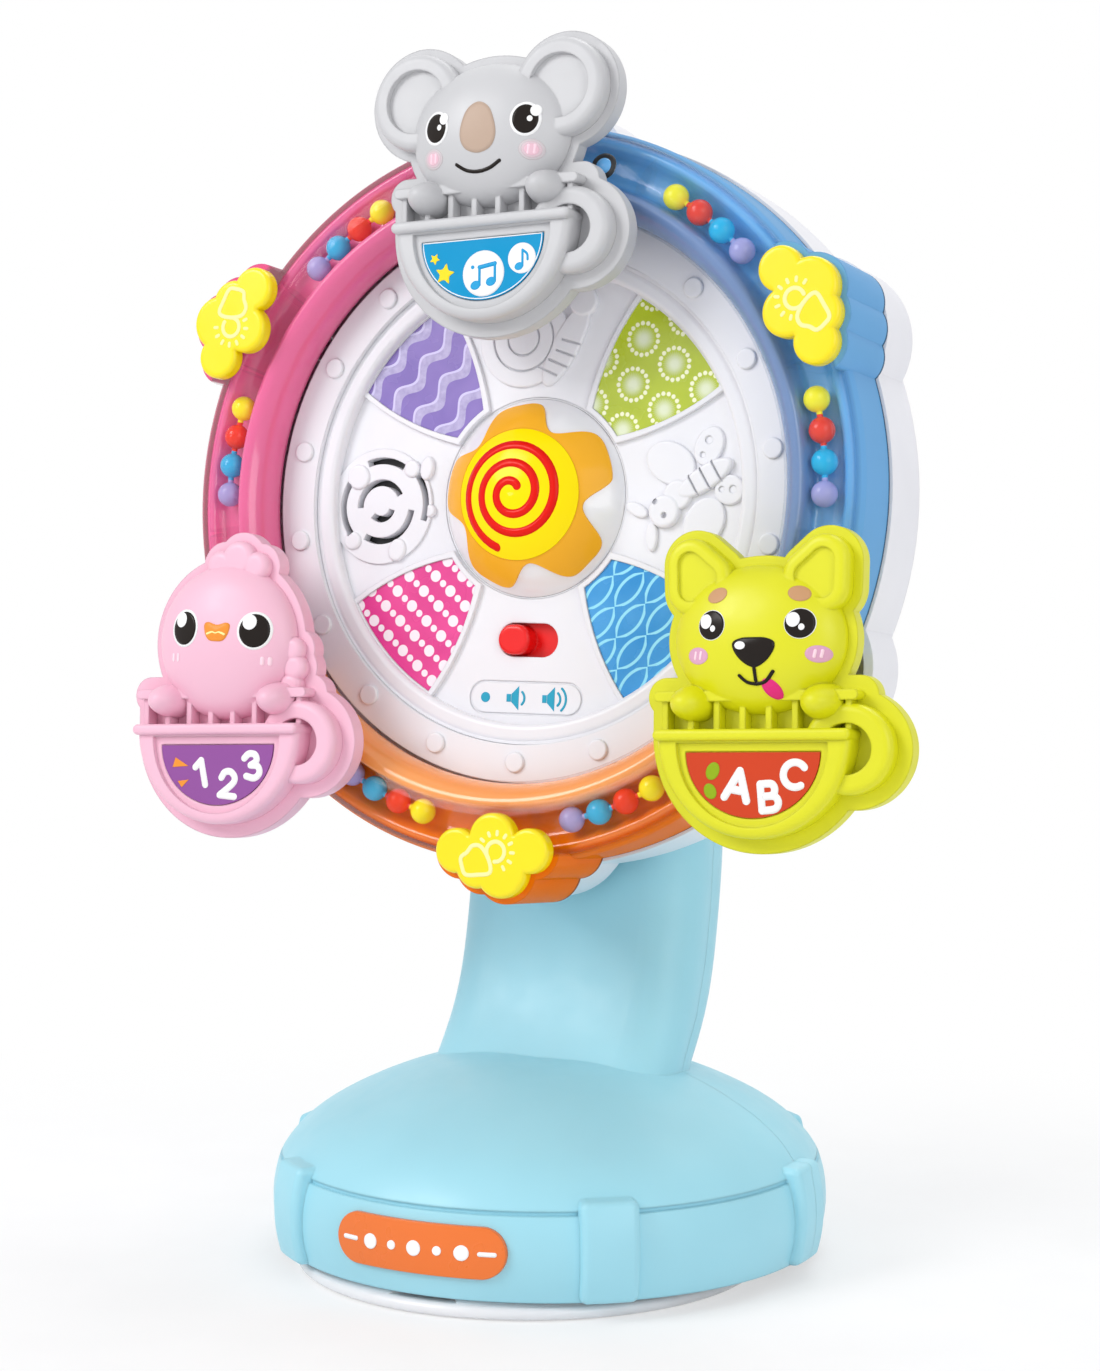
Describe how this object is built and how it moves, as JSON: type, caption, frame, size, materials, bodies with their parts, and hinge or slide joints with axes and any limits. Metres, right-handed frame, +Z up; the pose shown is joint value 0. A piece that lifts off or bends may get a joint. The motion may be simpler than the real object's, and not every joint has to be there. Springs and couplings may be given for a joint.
{
  "type": "suction cup spinner toy",
  "caption": "Tabletop spinner toy on a suction cup base: a see-through bead wheel with swinging animal cup gondolas around a fixed hub with a dome button and slide switch.",
  "frame": {"origin": "on the suction cup's axis, at the table surface under its lip", "axes": "+Z up from the table, the wheel faces -Y, +X to the right of someone facing the wheel"},
  "size_m": [0.1725, 0.1169, 0.2495],
  "materials": {
    "sky_blue": "smooth moulded",
    "white": "smooth moulded",
    "clear_rubber": "soft and slightly see-through",
    "label_orange": "printed",
    "screw_steel": "plain",
    "cell_wrap": "plain wrap",
    "board_green": "circuit board",
    "dark_plastic": "plain",
    "lamp_clear": "lamp lens",
    "panel_green": "printed film",
    "panel_purple": "printed film",
    "panel_magenta": "printed film",
    "panel_blue": "printed film",
    "button_orange": "glossy",
    "button_yellow": "glossy",
    "switch_red": "glossy",
    "ring_pink": "see-through tint",
    "ring_blue": "see-through tint",
    "ring_orange": "see-through tint",
    "cloud_yellow": "glossy",
    "bead_mix": "four bead colours",
    "koala_grey": "soft gloss",
    "bird_pink": "soft gloss",
    "dog_lime": "soft gloss",
    "sticker_blue": "printed film",
    "sticker_purple": "printed film",
    "sticker_red": "printed film"
  },
  "bodies": {
    "stand": {"stand_front_shell": "sky_blue", "stand_rear_shell": "sky_blue", "battery_door": "sky_blue", "door_screw": "screw_steel", "base_plate": "white", "suction_cup": "clear_rubber", "cup_clamp": "white", "label_plate": "label_orange", "base_screws": "screw_steel", "shell_screws": "screw_steel", "battery_tray": "white", "battery_cell_left": "cell_wrap", "battery_cell_middle": "cell_wrap", "battery_cell_right": "cell_wrap", "contact_plate_top": "screw_steel", "contact_plate_bottom": "screw_steel", "hub_housing": "white", "hub_face": "white", "panel_green": "panel_green", "panel_purple": "panel_purple", "panel_magenta": "panel_magenta", "panel_blue": "panel_blue", "bearing_washer": "screw_steel", "spindle_nut": "screw_steel", "hub_screws": "screw_steel", "circuit_board": "board_green", "speaker": "dark_plastic", "lamp": "lamp_clear", "push_switch": "dark_plastic", "switch_body": "dark_plastic", "button_spring": "screw_steel"},
    "button": {"button_dome": "white", "button_splash": "button_orange", "button_disc": "button_yellow"},
    "switch": {"switch_knob": "switch_red"},
    "wheel": {"wheel_tub": "white", "wheel_band": "white", "ring_pink": "ring_pink", "ring_blue": "ring_blue", "ring_orange": "ring_orange", "cloud_pink": "cloud_yellow", "cloud_blue": "cloud_yellow", "cloud_orange": "cloud_yellow", "ring_screws": "screw_steel", "gondola_pins": "screw_steel"},
    "beads_pink_a": {"beads_pink_a": "bead_mix"},
    "beads_pink_b": {"beads_pink_b": "bead_mix"},
    "beads_blue_a": {"beads_blue_a": "bead_mix"},
    "beads_blue_b": {"beads_blue_b": "bead_mix"},
    "beads_orange_a": {"beads_orange_a": "bead_mix"},
    "beads_orange_b": {"beads_orange_b": "bead_mix"},
    "koala": {"koala_rear_shell": "koala_grey", "koala_front_shell": "koala_grey", "koala_sticker": "sticker_blue"},
    "bird": {"bird_rear_shell": "bird_pink", "bird_front_shell": "bird_pink", "bird_sticker": "sticker_purple"},
    "dog": {"dog_rear_shell": "dog_lime", "dog_front_shell": "dog_lime", "dog_sticker": "sticker_red"}
  },
  "joints": [
    {"name": "wheel_spin", "type": "hinge", "parent": "stand", "child": "wheel", "pos_m": [0, -0.0057, 0.1582], "axis": [0, -0.9945, 0.1045], "continuous": true},
    {"name": "koala_swing", "type": "hinge", "parent": "wheel", "child": "koala", "pos_m": [-0.00226, -0.00854, 0.22684], "axis": [0, -0.9945, 0.1045], "continuous": true},
    {"name": "bird_swing", "type": "hinge", "parent": "wheel", "child": "bird", "pos_m": [-0.05847, -0.01927, 0.12472], "axis": [0, -0.9945, 0.1045], "continuous": true},
    {"name": "dog_swing", "type": "hinge", "parent": "wheel", "child": "dog", "pos_m": [0.06026, -0.01894, 0.12791], "axis": [0, -0.9945, 0.1045], "continuous": true},
    {"name": "beads_pink_a_slide", "type": "hinge", "parent": "wheel", "child": "beads_pink_a", "pos_m": [0, -0.0057, 0.1582], "axis": [0, -0.9945, 0.1045], "range_deg": [-3.6, 3.6]},
    {"name": "beads_pink_b_slide", "type": "hinge", "parent": "wheel", "child": "beads_pink_b", "pos_m": [0, -0.0057, 0.1582], "axis": [0, -0.9945, 0.1045], "range_deg": [-3.6, 3.6]},
    {"name": "beads_blue_a_slide", "type": "hinge", "parent": "wheel", "child": "beads_blue_a", "pos_m": [0, -0.0057, 0.1582], "axis": [0, -0.9945, 0.1045], "range_deg": [-3.6, 3.6]},
    {"name": "beads_blue_b_slide", "type": "hinge", "parent": "wheel", "child": "beads_blue_b", "pos_m": [0, -0.0057, 0.1582], "axis": [0, -0.9945, 0.1045], "range_deg": [-3.6, 3.6]},
    {"name": "beads_orange_a_slide", "type": "hinge", "parent": "wheel", "child": "beads_orange_a", "pos_m": [0, -0.0057, 0.1582], "axis": [0, -0.9945, 0.1045], "range_deg": [-3.6, 3.6]},
    {"name": "beads_orange_b_slide", "type": "hinge", "parent": "wheel", "child": "beads_orange_b", "pos_m": [0, -0.0057, 0.1582], "axis": [0, -0.9945, 0.1045], "range_deg": [-3.6, 3.6]},
    {"name": "button_press", "type": "slide", "parent": "stand", "child": "button", "axis": [0, 0.9945, -0.1045], "range_m": [0, 0.0022], "stiffness_N_per_m": 500, "springref_m": -0.001},
    {"name": "switch_slide", "type": "slide", "parent": "stand", "child": "switch", "axis": [1, 0, 0], "range_m": [0, 0.0056]}
  ]
}
